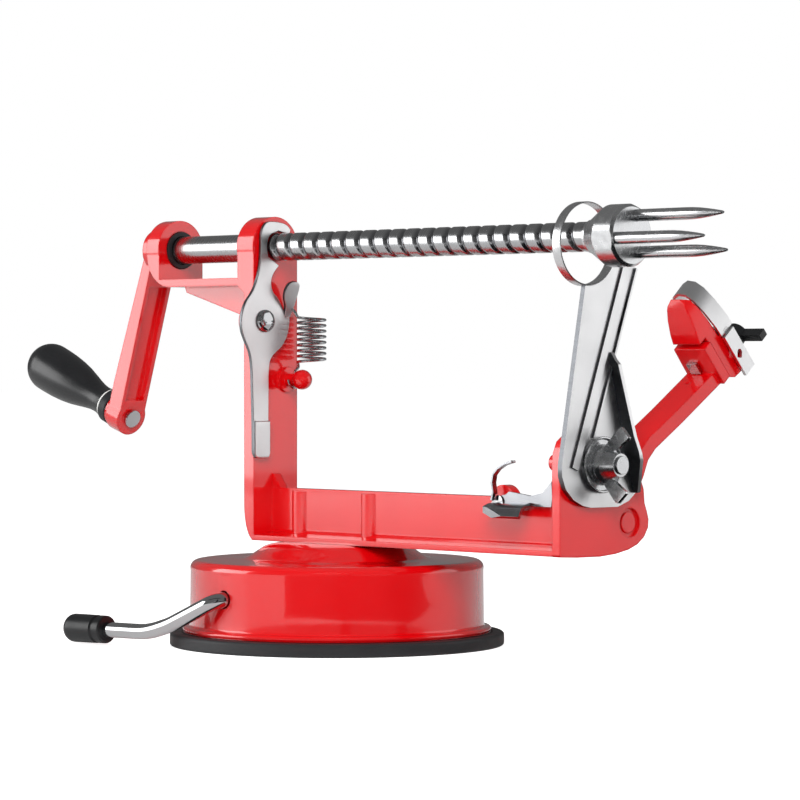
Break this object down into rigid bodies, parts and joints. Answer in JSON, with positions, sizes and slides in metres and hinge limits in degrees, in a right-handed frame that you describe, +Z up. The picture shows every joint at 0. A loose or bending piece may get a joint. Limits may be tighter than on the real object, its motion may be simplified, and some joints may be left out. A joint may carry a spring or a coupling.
{
  "type": "apple peeler",
  "caption": "Hand-cranked apple peeler, slicer and corer on a suction base, with a threaded shaft, a pronged fork and a swinging peeling arm.",
  "frame": {"origin": "centre of the suction pad's underside, on the table", "axes": "+X along the shaft towards the fork, +Y away from the thumb latch's side, +Z up"},
  "size_m": [0.2924, 0.139, 0.1292],
  "materials": {
    "red_paint": "glossy",
    "pad_rubber": "satin",
    "chrome": "polished",
    "steel": "satin",
    "dark_steel": "satin",
    "bush_black": "matte",
    "grip_black": "glossy",
    "ring_white": "glossy"
  },
  "bodies": {
    "frame": {"suction_pad": "pad_rubber", "base_cup": "red_paint", "base_screws": "steel", "frame_casting": "red_paint", "latch_rivet": "chrome", "latch_spring": "steel", "slicer_bolt": "chrome", "arm_pin": "red_paint", "arm_spring": "steel", "catch_pin": "steel"},
    "bush": {"outer_bush": "bush_black"},
    "shaft": {"drive_shaft": "steel", "crank_arm": "red_paint", "grip_bolt": "chrome", "fork_hub": "chrome", "fork_prongs": "chrome"},
    "grip": {"handle_grip": "grip_black", "grip_ferrule": "bush_black", "grip_ring": "ring_white"},
    "latch": {"latch_lever": "chrome"},
    "slicer": {"slicer_blade": "chrome", "coring_ring": "chrome", "cup_washer": "chrome"},
    "wing_nut": {"wing_nut": "chrome"},
    "arm": {"peeler_arm": "red_paint", "head_rivet": "steel"},
    "head": {"blade_head": "red_paint", "peel_blade": "chrome", "blade_holder": "chrome"},
    "blade_screw": {"blade_screw": "grip_black"},
    "catch": {"arm_catch": "chrome", "catch_spring": "steel"},
    "lever": {"suction_lever": "chrome", "lever_cap": "grip_black", "lever_clip": "dark_steel"},
    "stud": {"suction_stud": "steel"}
  },
  "joints": [
    {"name": "crank_turn", "type": "hinge", "parent": "frame", "child": "bush", "pos_m": [-0.074, 0, 0.1193], "axis": [1, 0, 0], "range_deg": [-7200, 0]},
    {"name": "shaft_feed", "type": "slide", "parent": "bush", "child": "shaft", "axis": [1, 0, 0], "range_m": [-0.1221, 0]},
    {"name": "grip_spin", "type": "hinge", "parent": "shaft", "child": "grip", "pos_m": [-0.09545, 0, 0.06652], "axis": [-0.9304, 0, 0.3665], "continuous": true},
    {"name": "latch_pivot", "type": "hinge", "parent": "frame", "child": "latch", "pos_m": [-0.0264, -0.0056, 0.0968], "axis": [1, 0, 0], "range_deg": [0, 11], "stiffness_Nm_per_rad": 0.06, "springref_deg": -11.46, "deforming": ["latch_spring"]},
    {"name": "slicer_swing", "type": "hinge", "parent": "frame", "child": "slicer", "pos_m": [0.1, 0.0055, 0.0558], "axis": [1, 0, 0], "range_deg": [-4, 4]},
    {"name": "wing_nut_turn", "type": "hinge", "parent": "frame", "child": "wing_nut", "pos_m": [0.105, 0.0055, 0.0558], "axis": [1, 0, 0], "range_deg": [0, 360]},
    {"name": "peeler_arm_swing", "type": "hinge", "parent": "frame", "child": "arm", "pos_m": [0.09, 0.0201, 0.039], "axis": [1, 0, 0], "range_deg": [0, 28]},
    {"name": "head_swivel", "type": "hinge", "parent": "arm", "child": "head", "pos_m": [0.0891, 0.06, 0.083], "axis": [0, -0.7478, -0.6639], "range_deg": [-10, 10]},
    {"name": "blade_screw_turn", "type": "hinge", "parent": "head", "child": "blade_screw", "pos_m": [0.09, 0.07346, 0.08893], "axis": [0, 0.7478, 0.6639], "range_deg": [0, 360]},
    {"name": "arm_catch_rock", "type": "hinge", "parent": "frame", "child": "catch", "pos_m": [0.07, -0.0024, 0.04476], "axis": [0, 1, 0], "range_deg": [0, 8], "stiffness_Nm_per_rad": 0.03, "springref_deg": -14.32},
    {"name": "suction_lever_turn", "type": "hinge", "parent": "frame", "child": "lever", "pos_m": [-0.0016, 0, 0.0153], "axis": [0, 1, 0], "range_deg": [0, 155]},
    {"name": "suction_lift", "type": "slide", "parent": "frame", "child": "stud", "axis": [0, 0, 1], "range_m": [0, 0.00286], "deforming": ["suction_pad"]}
  ],
  "couplings": [
    {"joint": "shaft_feed", "follows": "crank_turn", "m_per_rad": 0.00097085},
    {"joint": "suction_lift", "follows": "suction_lever_turn", "m_per_rad": 0.001057}
  ]
}
